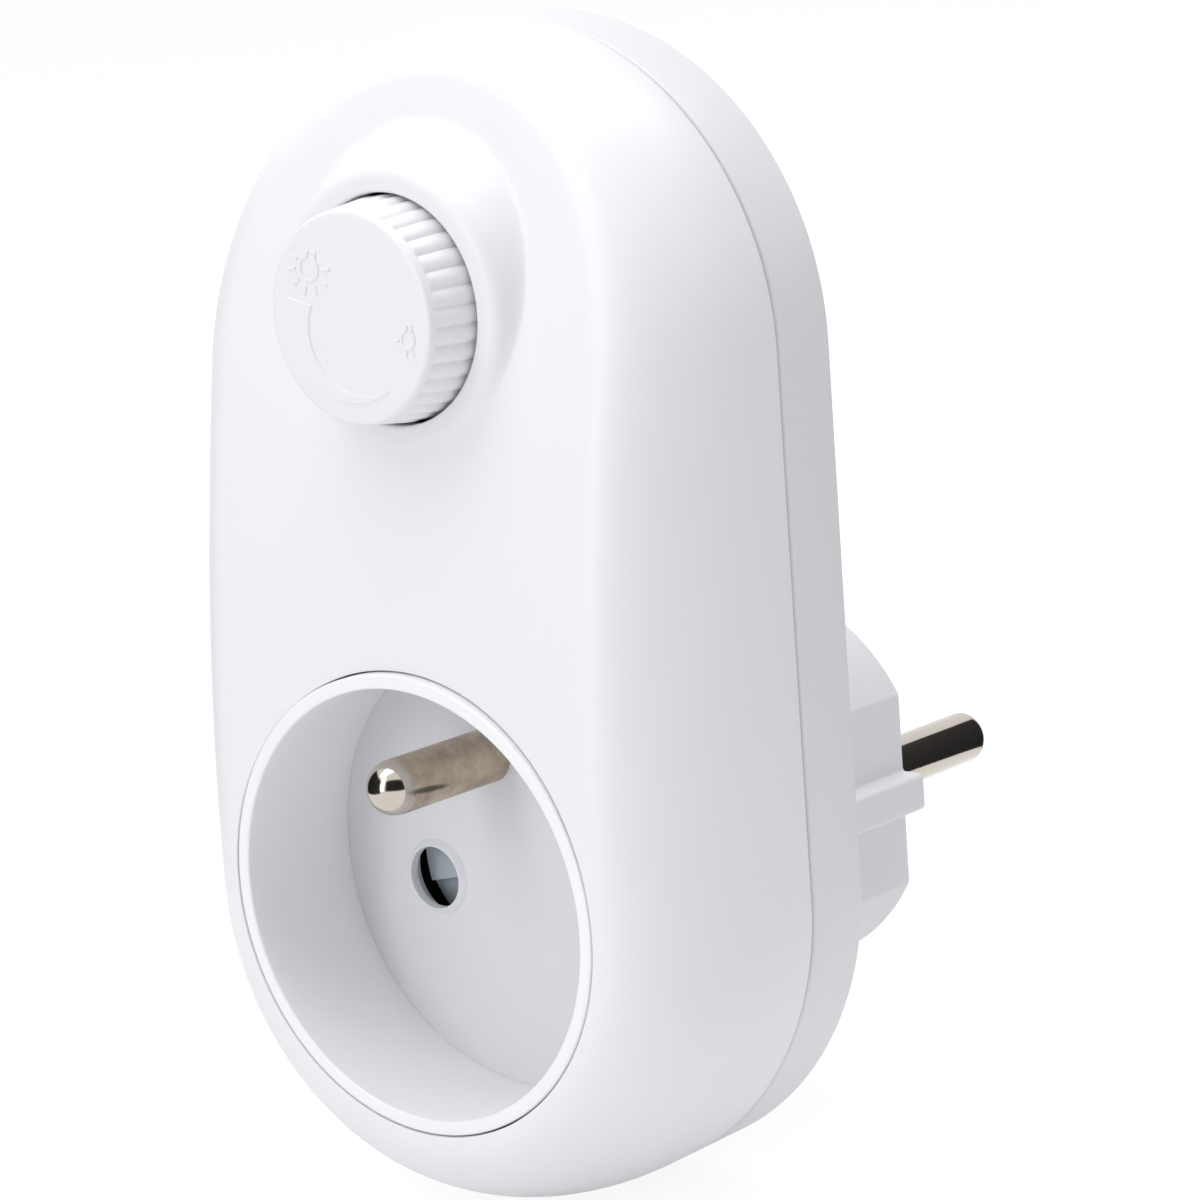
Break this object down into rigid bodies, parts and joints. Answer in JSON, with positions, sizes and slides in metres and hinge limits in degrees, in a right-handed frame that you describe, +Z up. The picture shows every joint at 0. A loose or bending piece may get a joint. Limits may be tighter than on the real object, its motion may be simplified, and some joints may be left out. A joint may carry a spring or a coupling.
{
  "type": "plug-in dimmer",
  "caption": "Tall white mains dimmer with round ends: a ribbed knob above a recessed socket with an earth pin in front, and a round plug with side earth strips behind.",
  "frame": {"origin": "middle of the plug end face, halfway between the two plug pins", "axes": "+Z up, +X to the right seen from the front, +Y into the wall along the plug pins"},
  "size_m": [0.056, 0.0708, 0.102],
  "materials": {
    "housing_white": "fine moulded satin",
    "insert_white": "fine moulded satin",
    "knob_white": "fine moulded satin",
    "shutter_grey": "moulded",
    "carrier_grey": "moulded",
    "nickel": "nickel plated brass, drawn",
    "brass": "stamped strip",
    "strap_steel": "plated stamped strip",
    "screw_steel": "zinc plated",
    "spring_steel": "drawn wire",
    "board_brown": "paper laminate",
    "wafer_brown": "paper laminate",
    "can_steel": "tinned sheet",
    "shaft_plastic": "moulded",
    "tinned": "tinned",
    "black_moulding": "moulded",
    "sink_aluminium": "bare sheet",
    "ferrite": "powder core",
    "copper_wire": "enamelled",
    "film_yellow": "moulded box",
    "film_red": "dipped",
    "resistor_tan": "lacquered",
    "diac_blue": "glass body",
    "fuse_glass": "clear tube",
    "lead_brown": "insulated wire",
    "lead_grey": "insulated wire"
  },
  "bodies": {
    "case": {"front_housing": "housing_white", "rear_cover": "housing_white", "socket_insert": "insert_white", "socket_earth_pin": "nickel", "shutter_spring": "spring_steel", "contact_carrier": "carrier_grey", "contact_line": "brass", "contact_neutral": "brass", "plug_pin_line": "nickel", "plug_pin_neutral": "nickel", "earth_strap": "strap_steel", "earth_receptacle": "brass", "neutral_bar": "brass", "circuit_board": "board_brown", "pot_body": "wafer_brown", "pot_cover": "can_steel", "pot_terminals": "tinned", "triac": "black_moulding", "heat_sink": "sink_aluminium", "triac_screw": "screw_steel", "choke_core": "ferrite", "choke_winding": "copper_wire", "film_capacitor": "film_yellow", "timing_capacitors": "film_red", "resistors": "resistor_tan", "diac": "diac_blue", "fuse_tube": "fuse_glass", "fuse_caps": "tinned", "fuse_clips": "tinned", "line_lead": "lead_brown", "load_lead": "lead_grey", "housing_screws": "screw_steel", "board_screws": "screw_steel", "carrier_screws": "screw_steel"},
    "dial": {"knob": "knob_white", "pot_shaft": "shaft_plastic"},
    "shutter": {"shutter": "shutter_grey"}
  },
  "joints": [
    {"name": "dial_turn", "type": "hinge", "parent": "case", "child": "dial", "pos_m": [0, -0.046, 0.05015], "axis": [0, 1, 0], "range_deg": [-135, 135]},
    {"name": "shutter_turn", "type": "hinge", "parent": "case", "child": "shutter", "pos_m": [0, -0.0331, 0], "axis": [0, 1, 0], "range_deg": [0, 40], "stiffness_Nm_per_rad": 0.008, "springref_deg": -17.19, "deforming": ["shutter_spring"]}
  ]
}
